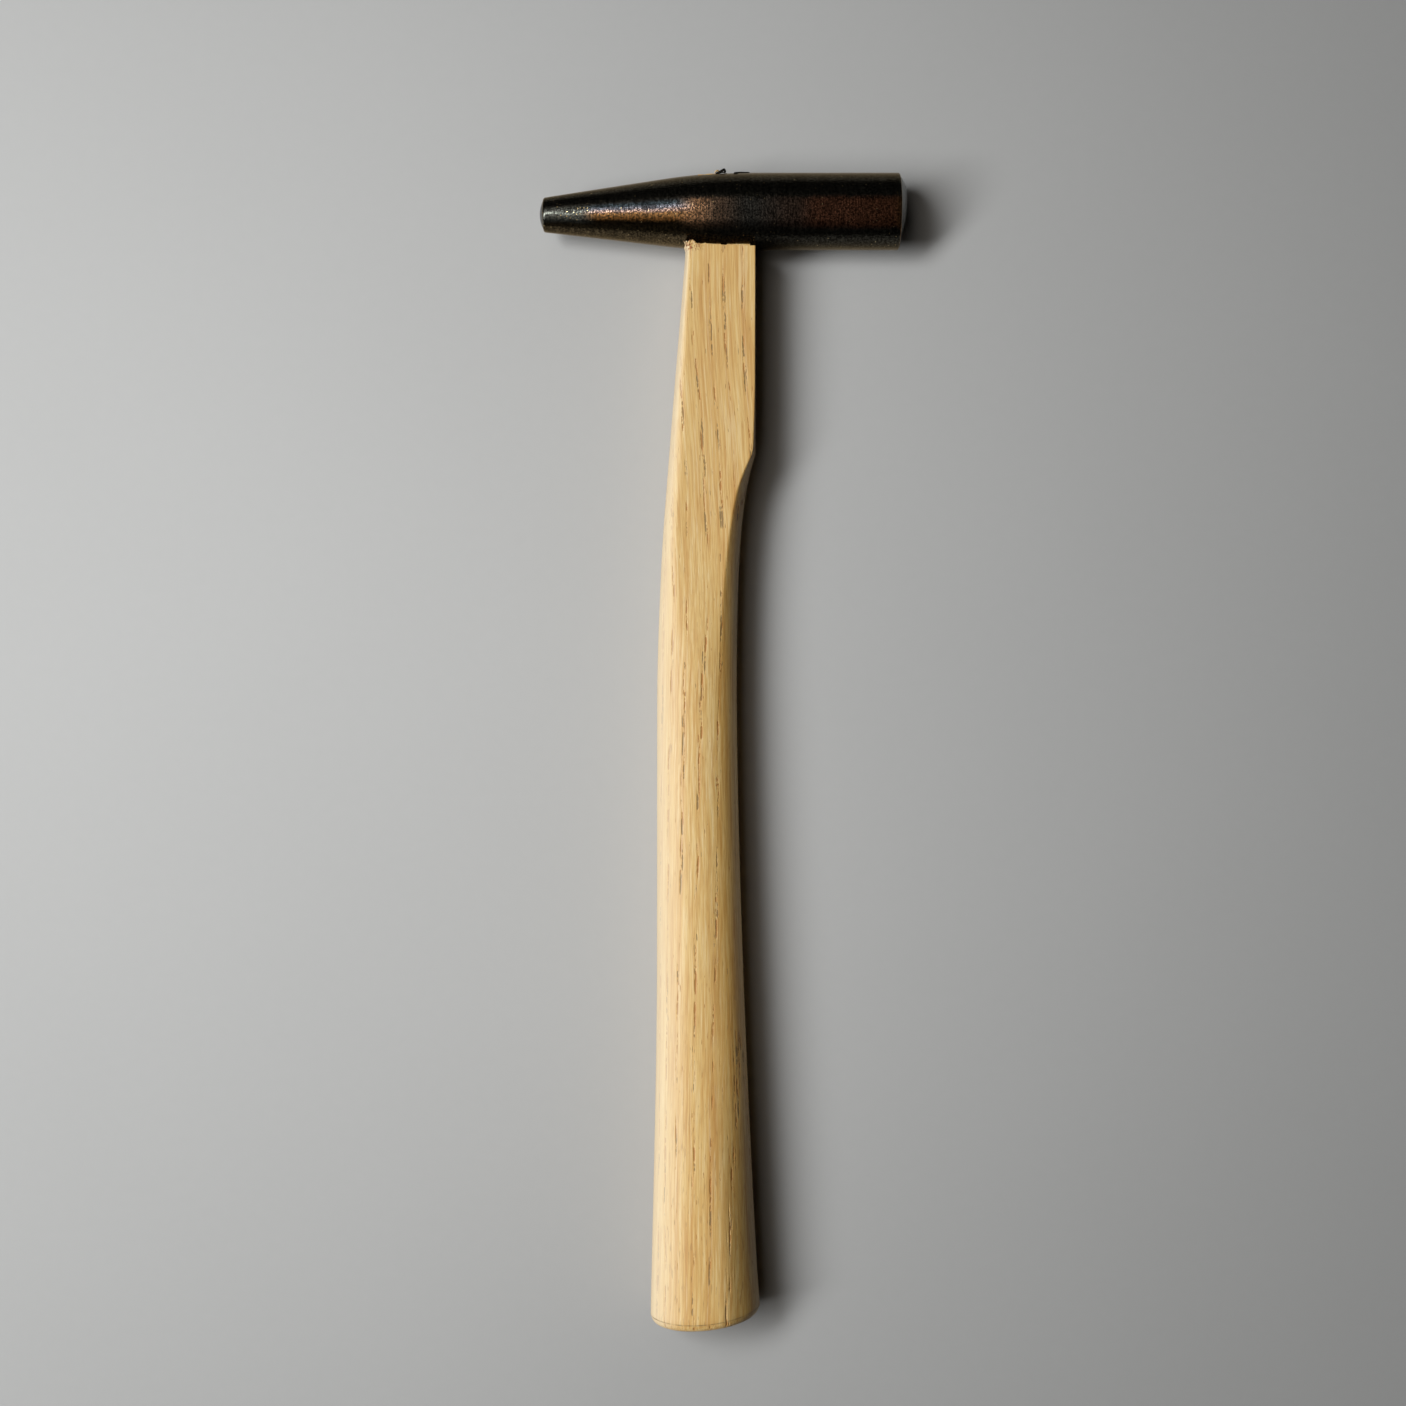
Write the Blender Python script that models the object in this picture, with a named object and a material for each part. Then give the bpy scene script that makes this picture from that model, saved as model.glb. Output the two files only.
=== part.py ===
"""A small metalworker's hammer lying on its side on the plane z = 0.

Metres, +Z up. +X points to the crowned striking face and -X to the small
domed peen. +Y runs from the butt of the handle to the head. The origin is
below the middle of the whole hammer.

It has three pieces: a turned steel head with a rectangular eye, an oak handle
whose tenon fills the eye, and a thin steel wedge in the tenon's sawn end.
Each piece is modelled about the point where the head's axis crosses its
middle, and hangs from an empty that stands there.
"""

import math

import bmesh
import bpy

MM = 0.001
CLEARANCE = 0.3 * MM  # gap between two pieces that touch on the real hammer

# Head, turned about the X axis
HEAD_LENGTH = 72.8 * MM
BARREL_RADIUS = 7.5 * MM
FACE_CROWN = 1.5 * MM  # how far the striking face bulges beyond its rim
FACE_ROUNDING = 0.35 * MM
FACE_TILT = 0.09  # how far the striking face leans: its side away from the handle stands forward
FACE_TILT_REACH = 1.0 * MM  # the length over which the lean sets in, from the rim
FACE_RIM = HEAD_LENGTH / 2 - FACE_CROWN
PEEN_RADIUS = 3.35 * MM
PEEN_CROWN = 0.7 * MM
PEEN_ROUNDING = 0.5 * MM
TAPER = 0.1325  # radius that the cone gains per unit of length
TAPER_RUNOUT = 14.0 * MM  # the length over which the cone fades into the straight barrel
PEEN_RIM = PEEN_CROWN - HEAD_LENGTH / 2
BARREL_START = PEEN_RIM + (BARREL_RADIUS - PEEN_RADIUS) / TAPER + TAPER_RUNOUT / 2
DROOP = 0.7 * MM  # how far the peen's centre lies towards the handle
DROOP_START = 7.0 * MM
DROOP_POWER = 1.3

# How finely the head is divided
HEAD_SEGMENTS = 64
CROWN_STEPS = 6
RIM_STEPS = 3
CONE_STEPS = 16
BARREL_STEPS = 6

# Eye through the head, along Y
EYE_CENTRE = 0.15 * MM
EYE_LENGTH = 10.3 * MM
EYE_WIDTH = 5.5 * MM

# Handle. A distance runs from the head's axis towards the butt.
OVERALL_LENGTH = 228.3 * MM
BUTT = OVERALL_LENGTH - BARREL_RADIUS
SHOULDER = BARREL_RADIUS + CLEARANCE
SHOULDER_SLOPE = 0.025  # the shoulder rises towards the peen, as the head thins there
BUTT_SLOPE = 0.065  # the butt is cut a little shorter on the face's side
SLOPE_REACH = 12.0 * MM
BUTT_ROUNDING = 1.5 * MM
BUTT_HEIGHT = 0.5 * MM  # the grip's middle at the butt, above the head's axis
NOTCH = 48.3 * MM
NOTCH_RUNOUT = 11.5 * MM
NECK_EDGE = 6.4 * MM
WAIST_EDGE = 2.6 * MM
FLARE_START = 91.0 * MM
FLARE_POWER = 1.6
BUTT_FLARE = 4.75 * MM
FLAT_END = 60.0 * MM
OVAL_START = 115.0 * MM
OVAL_POWER = 2.5

# (distance, value) stations in millimetres, joined by smooth curves
PEEN_SIDE_EDGE = ((7.8, -7.4), (47, -10.6), (72, -12.35), (97, -13.1), (150, -13.15), (220.8, -14.4))
THICKNESS = ((7.8, 10), (50, 10), (100, 13), (160, 15), (219.3, 16))
PEEN_SIDE_BULGE = ((7.8, 0.6), (47, 1.3), (80, 2.4), (120, 3.5))
FACE_SIDE_BULGE = ((7.8, 0.15), (33, 0.15), (47, 0.5), (57, 1.9), (77, 2.7), (120, 3.6))

BUTT_CORNER = PEEN_SIDE_EDGE[-1][1] * MM + BUTT_ROUNDING  # the end face's edge on the peen's side

# How finely the handle is divided
CHEEK_STEPS = 6
SIDE_STEPS = 10
NECK_STATIONS = 7
NOTCH_STATIONS = 16
GRIP_STATIONS = 16
ROUNDING_STATIONS = 4

# Tenon and wedge
TENON_TOP = 6.9 * MM
WEDGE_LENGTH = 8.0 * MM
WEDGE_HEAD = 1.3 * MM
WEDGE_TIP = 0.4 * MM

STEEL_COLOUR = (0.022, 0.020, 0.018)
OAK_COLOUR = (0.62, 0.42, 0.21)
WEDGE_COLOUR = (0.35, 0.34, 0.33)


def clear_scene():
    for obj in list(bpy.data.objects):
        bpy.data.objects.remove(obj)


def material(name, colour, roughness, metallic):
    made = bpy.data.materials.new(name)
    made.use_nodes = True
    surface = made.node_tree.nodes["Principled BSDF"]
    surface.inputs["Base Color"].default_value = (*colour, 1)
    surface.inputs["Roughness"].default_value = roughness
    surface.inputs["Metallic"].default_value = metallic
    return made


def object_of(name, bm, parent, made_of=None):
    """Turns a bmesh into a named object under the parent."""
    bmesh.ops.recalc_face_normals(bm, faces=bm.faces)
    mesh = bpy.data.meshes.new(name)
    bm.to_mesh(mesh)
    bm.free()
    obj = bpy.data.objects.new(name, mesh)
    bpy.context.scene.collection.objects.link(obj)
    obj.parent = parent
    if made_of:
        mesh.materials.append(made_of)
        mesh.shade_smooth()
        mesh.set_sharp_from_angle(angle=math.radians(30))
    return obj


def cut(obj, cutter):
    """Takes the cutter's shape out of the object."""
    cutter.hide_render = True
    cutter.display_type = "WIRE"
    boolean = obj.modifiers.new(cutter.name, "BOOLEAN")
    boolean.operation = "DIFFERENCE"
    boolean.object = cutter


def eased(share):
    """0 to 1 with a gentle start and end, held outside that range."""
    share = min(max(share, 0.0), 1.0)
    return share * share * (3 - 2 * share)


def spaced(start, end, count):
    """Evenly spaced values from start, leaving out the end."""
    return [start + (end - start) * i / count for i in range(count)]


def along(stations, distance):
    """The value at a distance, on a smooth curve through the stations that never overshoots them."""
    points = [(at * MM, value * MM) for at, value in stations]
    rises = [(b[1] - a[1]) / (b[0] - a[0]) for a, b in zip(points, points[1:])]
    slopes = [rises[0]]
    for before, after in zip(rises, rises[1:]):
        slopes.append(2 * before * after / (before + after) if before * after > 0 else 0.0)
    slopes.append(rises[-1])
    distance = min(max(distance, points[0][0]), points[-1][0])
    i = max(k for k in range(len(rises)) if points[k][0] <= distance)
    gap = points[i + 1][0] - points[i][0]
    t = (distance - points[i][0]) / gap
    return (
        points[i][1]
        + (points[i + 1][1] - points[i][1]) * eased(t)
        + gap * t * (1 - t) * (slopes[i] * (1 - t) - slopes[i + 1] * t)
    )


# Head


def side_radius(x):
    """Radius of the head's side: a straight cone, then a parabola that runs flush into the straight barrel."""
    if x < BARREL_START - TAPER_RUNOUT:
        return PEEN_RADIUS + TAPER * (x - PEEN_RIM)
    left = max(BARREL_START - x, 0)
    return BARREL_RADIUS - TAPER * left**2 / (2 * TAPER_RUNOUT)


def crown(tip, rim, rim_radius, steps):
    """(x, radius) points of a spherical end, from its tip on the axis to its rim."""
    height = abs(rim - tip)
    sphere = (rim_radius**2 + height**2) / (2 * height)
    half_angle = math.asin(rim_radius / sphere)
    inward = math.copysign(1, rim - tip)
    angles = [half_angle * i / steps for i in range(steps + 1)]
    return [(tip + inward * sphere * (1 - math.cos(a)), sphere * math.sin(a)) for a in angles]


def bend(start, corner, end, steps):
    """Points between start and end on a curve that rounds the corner."""
    points = []
    for i in range(1, steps):
        t = i / steps
        weights = ((1 - t) ** 2, 2 * t * (1 - t), t * t)
        points.append(tuple(sum(w * p[k] for w, p in zip(weights, (start, corner, end))) for k in (0, 1)))
    return points


def rounded_end(tip, rim, inward, rounding):
    """Profile of one end of the head: crown, then a rounded rim, up to the side."""
    radius = side_radius(rim)
    side_start = rim + inward * rounding
    face = crown(tip, rim, radius - rounding, CROWN_STEPS)
    end = (side_start, side_radius(side_start))
    return face + bend(face[-1], (rim, radius), end, RIM_STEPS) + [end]


def head_profile():
    """(x, radius) points from the peen's tip to the face's tip."""
    peen_end = rounded_end(-HEAD_LENGTH / 2, PEEN_RIM, 1, PEEN_ROUNDING)
    face_end = rounded_end(HEAD_LENGTH / 2, FACE_RIM, -1, FACE_ROUNDING)
    side = []
    for x in spaced(peen_end[-1][0], BARREL_START, CONE_STEPS)[1:]:
        side.append((x, side_radius(x)))
    for x in spaced(BARREL_START, face_end[-1][0], BARREL_STEPS):
        side.append((x, BARREL_RADIUS))
    return peen_end + side + face_end[::-1]


def droop_at(x):
    share = (DROOP_START - x) / (DROOP_START + HEAD_LENGTH / 2)
    return DROOP * max(share, 0.0) ** DROOP_POWER


def tilt_at(x, y):
    """How far the lean of the striking face moves a point along the head."""
    return FACE_TILT * y * eased((x - FACE_RIM) / FACE_TILT_REACH)


def box(name, length, depth, width, centre_x, parent):
    """A plain block about the head's axis, used only to cut with."""
    bm = bmesh.new()
    bmesh.ops.create_cube(bm, size=1)
    for vert in bm.verts:
        vert.co.x = centre_x + vert.co.x * length
        vert.co.y *= depth
        vert.co.z *= width
    return object_of(name, bm, parent)


def make_head(parent):
    bm = bmesh.new()
    verts = [bm.verts.new((x, 0, radius)) for x, radius in head_profile()]
    edges = [bm.edges.new(pair) for pair in zip(verts, verts[1:])]
    bmesh.ops.spin(
        bm,
        geom=verts + edges,
        cent=(0, 0, 0),
        axis=(1, 0, 0),
        angle=math.tau,
        steps=HEAD_SEGMENTS,
        use_merge=True,
    )
    bmesh.ops.remove_doubles(bm, verts=bm.verts, dist=1e-7)
    for vert in bm.verts:
        x, y, _ = vert.co
        vert.co.x += tilt_at(x, y)
        vert.co.y -= droop_at(x)
    head = object_of("head", bm, parent, material("blackened steel", STEEL_COLOUR, 0.35, 0.9))
    cut(head, box("eye_cutter", EYE_LENGTH, 4 * BARREL_RADIUS, EYE_WIDTH, EYE_CENTRE, parent))
    return head


# Handle


def face_side_edge(distance):
    """X of the edge on the face's side: straight neck, scooped notch, waist, flared butt."""
    if distance <= NOTCH:
        return NECK_EDGE
    scoop = (NECK_EDGE - WAIST_EDGE) * math.exp(-(distance - NOTCH) / NOTCH_RUNOUT)
    flare_share = max(distance - FLARE_START, 0) / (BUTT - FLARE_START)
    return WAIST_EDGE + scoop + BUTT_FLARE * flare_share**FLARE_POWER


def bulging_side(edge, bulge, half, outward):
    """(x, z) arc from the front arris over the edge to the back arris."""
    radius = (half**2 + bulge**2) / (2 * bulge)
    half_angle = math.asin(half / radius)
    points = []
    for i in range(SIDE_STEPS + 1):
        angle = half_angle * (1 - 2 * i / SIDE_STEPS)
        points.append((edge - outward * radius * (1 - math.cos(angle)), radius * math.sin(angle)))
    return points


def cheek(start, end):
    """Points strictly between two arrises, on a straight line."""
    shares = spaced(0, 1, CHEEK_STEPS)[1:]
    return [tuple(a + (b - a) * t for a, b in zip(start, end)) for t in shares]


def ring_of(face_side, peen_side):
    """One closed ring from two side curves that both run from front to back."""
    back = cheek(face_side[-1], peen_side[-1])
    front = cheek(peen_side[0], face_side[0])
    return face_side + back + peen_side[::-1] + front


def pushed_to_oval(ring, left, right, half, share):
    """Moves a ring's points a share of the way out or in to a full oval of the same size."""
    middle, half_width = (left + right) / 2, (right - left) / 2
    moved = []
    for x, z in ring:
        u, v = (x - middle) / half_width, z / half
        reach = (abs(u) ** OVAL_POWER + abs(v) ** OVAL_POWER) ** (1 / OVAL_POWER)
        scale = 1 + (1 / reach - 1) * share
        moved.append((middle + (x - middle) * scale, z * scale))
    return moved


def handle_section(distance):
    """(x, z) points round the handle, z from the handle's own middle."""
    left = along(PEEN_SIDE_EDGE, distance)
    right = face_side_edge(distance)
    half = along(THICKNESS, distance) / 2
    face_side = bulging_side(right, along(FACE_SIDE_BULGE, distance), half, 1)
    peen_side = bulging_side(left, along(PEEN_SIDE_BULGE, distance), half, -1)
    oval_share = eased((distance - FLAT_END) / (OVAL_START - FLAT_END))
    return pushed_to_oval(ring_of(face_side, peen_side), left, right, half, oval_share)


def tenon_section():
    """(x, z) points round the tenon, as many as the handle's own sections have."""
    half_length = EYE_LENGTH / 2 - CLEARANCE
    half_width = EYE_WIDTH / 2 - CLEARANCE
    sides = []
    for x in (EYE_CENTRE + half_length, EYE_CENTRE - half_length):
        sides.append([(x, half_width * (1 - 2 * i / SIDE_STEPS)) for i in range(SIDE_STEPS + 1)])
    return ring_of(*sides)


def sloped_end(distance, x):
    """Y of a point, with the shoulder's and the butt's slopes worked in near each end."""
    near_shoulder = eased(1 - (distance - SHOULDER) / SLOPE_REACH)
    near_butt = eased(1 - (BUTT - distance) / SLOPE_REACH)
    slope = near_shoulder * SHOULDER_SLOPE * (NECK_EDGE - x)
    slope += near_butt * BUTT_SLOPE * (x - BUTT_CORNER)
    return slope - distance


def middle_height(distance):
    """Height of the handle's middle: level along the neck, then rising slightly to the butt."""
    return BUTT_HEIGHT * eased((distance - NOTCH) / (BUTT - BUTT_ROUNDING - NOTCH))


def drawn_in(ring, inset):
    """The ring with each point moved towards the middle by the inset."""
    middle = (max(x for x, _ in ring) + min(x for x, _ in ring)) / 2
    drawn = []
    for x, z in ring:
        scale = 1 - inset / math.hypot(x - middle, z)
        drawn.append((middle + (x - middle) * scale, z * scale))
    return drawn


def handle_rings():
    """Rings of (x, y, z) points from the butt's end face to the tenon's top."""
    grip_end = BUTT - BUTT_ROUNDING
    rings = []
    for i in range(ROUNDING_STATIONS):
        angle = math.pi / 2 * i / ROUNDING_STATIONS
        inset = BUTT_ROUNDING * (1 - math.sin(angle))
        distance = grip_end + BUTT_ROUNDING * math.cos(angle)
        rings.append((distance, drawn_in(handle_section(grip_end), inset)))
    stations = spaced(grip_end, OVAL_START, GRIP_STATIONS)
    stations += spaced(OVAL_START, NOTCH, NOTCH_STATIONS)
    stations += spaced(NOTCH, SHOULDER, NECK_STATIONS) + [SHOULDER]
    rings += [(distance, handle_section(distance)) for distance in stations]
    rings.append((SHOULDER, tenon_section()))
    placed = [[(x, sloped_end(d, x), z + middle_height(d)) for x, z in ring] for d, ring in rings]
    placed.append([(x, TENON_TOP, z) for x, z in tenon_section()])
    return placed


def loft(rings):
    """A closed skin over the rings, with flat ends."""
    bm = bmesh.new()
    loops = [[bm.verts.new(point) for point in ring] for ring in rings]
    for lower, upper in zip(loops, loops[1:]):
        for i in range(len(lower)):
            bm.faces.new((lower[i - 1], lower[i], upper[i], upper[i - 1]))
    bm.faces.new(loops[0])
    bm.faces.new(loops[-1])
    return bm


def wedge_blank(thicker_by, top, width):
    """A wedge about the tenon's middle, from its top down to its tip."""
    tip = TENON_TOP - WEDGE_LENGTH - thicker_by
    rise = (WEDGE_HEAD - WEDGE_TIP) / 2 / WEDGE_LENGTH
    rings = []
    for y in (tip, top):
        half = WEDGE_TIP / 2 + thicker_by + rise * (y - TENON_TOP + WEDGE_LENGTH)
        xs = (EYE_CENTRE - half, EYE_CENTRE + half, EYE_CENTRE + half, EYE_CENTRE - half)
        zs = (-width / 2, -width / 2, width / 2, width / 2)
        rings.append([(x, y, z) for x, z in zip(xs, zs)])
    return loft(rings)


def make_handle(parent):
    handle = object_of("handle", loft(handle_rings()), parent, material("raw oak", OAK_COLOUR, 0.6, 0.0))
    kerf = wedge_blank(CLEARANCE, TENON_TOP + BARREL_RADIUS, 2 * EYE_WIDTH)
    cut(handle, object_of("kerf_cutter", kerf, parent))
    return handle


def make_wedge(parent):
    blank = wedge_blank(0, TENON_TOP, EYE_WIDTH - 2 * CLEARANCE)
    return object_of("wedge", blank, parent, material("bare steel", WEDGE_COLOUR, 0.4, 1.0))


def main():
    clear_scene()
    hammer = bpy.data.objects.new("hammer", None)
    hammer.location = (0, OVERALL_LENGTH / 2 - BARREL_RADIUS, BARREL_RADIUS)
    bpy.context.scene.collection.objects.link(hammer)
    make_head(hammer)
    make_handle(hammer)
    make_wedge(hammer)


main()
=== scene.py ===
"""Looks for a small metalworker's hammer with an oak handle, lying on a pale studio floor.

The scene is in metres. The hammer's own curves are stated in millimetres from the pivot:
the middle of the head, on its axis. The pivot comes from the frame.
"""

import math

import bmesh
import bpy
import numpy as np
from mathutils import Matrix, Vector, noise


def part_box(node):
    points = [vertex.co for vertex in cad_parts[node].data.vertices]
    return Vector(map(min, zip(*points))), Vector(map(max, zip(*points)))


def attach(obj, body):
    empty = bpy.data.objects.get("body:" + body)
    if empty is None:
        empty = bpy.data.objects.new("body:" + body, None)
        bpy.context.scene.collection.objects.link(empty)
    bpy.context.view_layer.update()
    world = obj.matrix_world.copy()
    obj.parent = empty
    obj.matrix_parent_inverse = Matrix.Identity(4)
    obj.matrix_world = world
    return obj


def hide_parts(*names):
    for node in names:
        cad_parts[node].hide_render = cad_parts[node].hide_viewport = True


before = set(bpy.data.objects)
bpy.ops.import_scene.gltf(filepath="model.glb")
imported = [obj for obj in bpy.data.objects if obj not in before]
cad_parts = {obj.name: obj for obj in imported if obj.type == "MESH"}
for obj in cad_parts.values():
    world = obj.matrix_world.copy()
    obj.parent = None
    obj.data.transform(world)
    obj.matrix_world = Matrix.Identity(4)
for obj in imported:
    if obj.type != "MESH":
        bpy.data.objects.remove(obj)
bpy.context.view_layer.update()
BODY = "root"
MM = 0.001

# Places that the frame gives
HEAD_LOW, HEAD_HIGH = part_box("head")
HANDLE_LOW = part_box("handle")[0]
WEDGE_LOW, WEDGE_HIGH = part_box("wedge")
BARREL_RADIUS = (HEAD_HIGH.z - HEAD_LOW.z) / 2 / MM
HEAD_HALF = -HEAD_LOW.x / MM
PIVOT = Vector((0.0, HEAD_HIGH.y - BARREL_RADIUS * MM, HEAD_HIGH.z - BARREL_RADIUS * MM))
BUTT = (PIVOT.y - HANDLE_LOW.y) / MM

# Head, in millimetres
FACE_CROWN = 1.5
FACE_ROUNDING = 0.35
FACE_TILT = 0.09  # how far the striking face moves along the head for each step away from the handle
FACE_TILT_REACH = 1.0
FACE_RIM = HEAD_HALF - FACE_CROWN
PEEN_RADIUS = 3.35
PEEN_CROWN = 0.7
PEEN_ROUNDING = 0.5
PEEN_RIM = PEEN_CROWN - HEAD_HALF
TAPER = 0.1325
TAPER_RUNOUT = 14.0  # length over which the cone runs out into the barrel
BARREL_START = PEEN_RIM + (BARREL_RADIUS - PEEN_RADIUS) / TAPER + TAPER_RUNOUT / 2
DROOP = 0.7  # how far the peen's tip sags towards the handle
DROOP_START = 7.0
DROOP_POWER = 1.3
EYE_CENTRE = 0.15
EYE_LENGTH = 10.3
EYE_WIDTH = 5.5
EYE_CORNER = 0.7
EYE_FLARE = 1.4  # how far the punch spreads each way by its ends, which are outside the head
EYE_FLARE_DEPTH = 0.6
EYE_REACH = 12.0
HEAD_SEGMENTS = 256
BARE_MARGIN = 0.03  # how far outside each rim the bare steel of the ends begins

# Tenon and wedge, in millimetres
TENON_TOP = (WEDGE_HIGH.y - PIVOT.y) / MM - 0.08
TENON_GAP = 0.03
TENON_UNEVEN = 0.16
PRONG_STEPS = 20
KERF_HALF = 0.62
WEDGE_PROUD = 0.12
WEDGE_POINT = 0.2
WEDGE_SEGMENTS = 48

# Handle, in millimetres. A distance runs from the head's axis towards the butt.
SHOULDER = BARREL_RADIUS + 0.3
NOTCH = 48.3
NOTCH_RUNOUT = 11.5
NECK_EDGE = 6.4
WAIST_EDGE = 2.6
FLARE_START = 91.0
FLARE_POWER = 1.6
BUTT_FLARE = 4.75
BUTT_ROUNDING = 1.5
BUTT_ARRIS = 0.09  # the small step where that rounding starts
BUTT_SHADE_LINE = -BUTT + BUTT_ROUNDING  # y of the line of painted shade, with nicks, along the arris
BUTT_HEIGHT = 0.5  # how far the butt's middle stands above the head's axis
BUTT_SLOPE = 0.065
BUTT_DOME = 1.1  # how far the end stands back at BUTT_HALF to each side of BUTT_MIDDLE
BUTT_MIDDLE = -5.0
BUTT_HALF = 11.0
SHOULDER_SLOPE = 0.025
SLOPE_REACH = 12.0
TORN_DEPTH = 1.7
TORN_EDGE = -4.2  # x where the torn corner starts
TORN_RUN = 2.6  # it is torn in full from this much further out
TORN_LIFT = 0.62
LIFTED_AT = -3.6  # x of the lifted splinter beside the corner
LIFTED_HALF = 0.9
LIFTED_BY = 0.24
FLAT_END = 60.0  # from here the flat cheeks round off, and from the next one the section is oval
OVAL_START = 100.0
OVAL_POWER = 2.2
ARRIS_FADE = 55.0
PEEN_SIDE_EDGE = ((7.8, -7.4), (47, -10.6), (72, -12.35), (97, -13.1), (150, -13.15), (220.8, -14.4))
THICKNESS = ((7.8, 10), (50, 10), (100, 13), (160, 15), (219.3, 16))
PEEN_SIDE_BULGE = ((7.8, 0.6), (47, 1.3), (80, 2.4), (120, 3.5))
FACE_SIDE_BULGE = ((7.8, 0.15), (33, 0.15), (47, 0.5), (57, 1.9), (77, 2.7), (120, 3.6))
BUTT_CORNER = PEEN_SIDE_EDGE[-1][1] + BUTT_ROUNDING
CHEEK_STEPS = 116
SIDE_STEPS = 92
STATION_GAP = 1.0
FINE_REACH = 3.0  # stations are closer together this near the shoulder, where the wood is torn
FINE_GAP = 0.2

# Scraps of fibre and splinters
STRIP_STEPS = 8
STRIP_AROUND = 10
STRIP_TIP = 0.15  # share of its full width that a strip keeps at its tips
SPLINTERS = 9
SPLINTER_LENGTH = 0.45
SPLINTER_EXTRA = 0.5  # the longest splinters are this much longer
SPLINTER_BOW = 0.08
SPLINTER_HALF_WIDTH = 0.10
SPLINTER_HALF_THICKNESS = 0.05

# Oak: sizes in millimetres, and the depths of the relief in metres
GRAIN_SHIFT = 2.8  # how far the grain moves across between the next two heights
GRAIN_SHIFT_TOP = -15.0
GRAIN_SHIFT_END = -78.0
GRAIN_WANDER = 1.8
RING_WIDTH = 3.3
RING_TILT = 0.75
RING_DRIFT = 4.0
PORE_ACROSS = 0.44
PORE_ALONG = 5.5
PORE_DEPTH = 0.06 * MM
PORE_BUMP = 0.06 * MM
FIBRE_BUMP = 0.03 * MM
CRUMB_BUMP = 0.35 * MM
# Half width of the line of painted shade along the butt's arris.
BUTT_SHADE_HALF = 0.22

# Steel: colours across the cone, from its side towards the handle to the opposite side. They follow the
# normal's y: heat tints in the middle, where the lights are reflected, and painted shade at both ends.
CONE_TINTS_AND_SHADE = (
    (0.00, (0.030, 0.020, 0.010)),
    (0.09, (0.130, 0.060, 0.018)),
    (0.25, (0.210, 0.112, 0.045)),
    (0.36, (0.225, 0.150, 0.125)),
    (0.46, (0.130, 0.128, 0.150)),
    (0.56, (0.062, 0.088, 0.106)),
    (0.68, (0.026, 0.034, 0.042)),
    (0.85, (0.020, 0.024, 0.030)),
)

# Colours along the whole head, from the peen to the face
HEAD_TINTS = (
    (0.00, (0.082, 0.085, 0.075)),
    (0.14, (0.082, 0.085, 0.075)),
    (0.42, (0.240, 0.135, 0.074)),
    (0.48, (0.105, 0.068, 0.046)),
    (0.57, (0.060, 0.058, 0.052)),
    (0.69, (0.085, 0.056, 0.042)),
    (0.76, (0.155, 0.066, 0.038)),
    (0.95, (0.165, 0.068, 0.036)),
    (1.00, (0.180, 0.095, 0.030)),
)
CONE_SPAN = 0.5  # the cone's tints run over this much of the normal's y, each way
# How strongly painted shade dims the bright reflection along the top of the cone.
PAINTED_RIDGE_SHADE = 0.76
GRIT_BUMP = 0.030 * MM
TURNING_BUMP = 0.020 * MM
STAIN_BUMP = 0.01 * MM
BARE_SHADE = (0.17, 0.17, 0.16)
BARE_ROUGHNESS = 0.24
WEDGE_SHADE = (0.36, 0.35, 0.34)
WEDGE_ROUGHNESS = 0.38

# Studio: places and sizes in metres, the lens in millimetres, the lights in watts
CAMERA_X = -4.0 * MM
CAMERA_Y = 9.05 * MM
CAMERA_HEIGHT = 421.0 * MM
CAMERA_LENS = 53.3
BACKDROP = (0.46, 0.46, 0.455)
FLOOR_TONE = 0.465
FLOOR_SIZE = 3.0
KEY_PLACE = (-0.566, -0.036, 0.615)
KEY_TARGET = (-0.30, -0.30, 0.0)
KEY_SIZE = (0.19, 0.81)
KEY_WATTS = 8.2
KEY_COLOUR = (0.985, 1.0, 0.995)
GLOW_PLACE = (-0.168, 0.08, 0.60)
GLOW_TARGET = (-0.168, 0.08, 0.0)
GLOW_SIZE = (0.205, 0.92)
GLOW_WATTS = 0.52
GLOW_COLOUR = (1.0, 0.93, 0.84)
ROOM_COLOUR = (1.0, 0.85, 0.7)
ROOM_STRENGTH = 0.004


# Mesh helpers


def object_from(name, mesh, made_of):
    obj = bpy.data.objects.new(name, mesh)
    bpy.context.scene.collection.objects.link(obj)
    for material in made_of:
        mesh.materials.append(material)
    return obj


def skin(name, rings, first_tip, last_tip, made_of=(), sharp=35):
    """A closed smooth mesh over rings of points given in millimetres about the pivot."""
    count, around, _ = rings.shape
    points = np.concatenate([rings.reshape(-1, 3), [first_tip, last_tip]]) * MM + np.array(PIVOT)
    faces = []
    for i in range(count - 1):
        here, beyond = i * around, (i + 1) * around
        for k in range(around):
            after = (k + 1) % around
            faces.append((here + k, here + after, beyond + after, beyond + k))
    last = (count - 1) * around
    for k in range(around):
        after = (k + 1) % around
        faces.append((k, count * around, after))
        faces.append((last + k, last + after, count * around + 1))
    mesh = bpy.data.meshes.new(name)
    mesh.from_pydata(points.tolist(), [], faces)
    face_outwards(mesh)
    mesh.shade_smooth()
    mesh.set_sharp_from_angle(angle=math.radians(sharp))
    return object_from(name, mesh, made_of)


def stands_for(obj, node):
    """Fixes a visible piece to the hammer's body, in the place of one CAD node."""
    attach(obj, BODY)
    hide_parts(node)


def face_outwards(mesh):
    """Turns the faces of a closed mesh outwards."""
    bm = bmesh.new()
    bm.from_mesh(mesh)
    bmesh.ops.recalc_face_normals(bm, faces=bm.faces)
    bm.to_mesh(mesh)
    bm.free()


def eased(share):
    """0 to 1 with a smooth start and end."""
    share = np.clip(share, 0.0, 1.0)
    return share * share * (3 - 2 * share)


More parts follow.
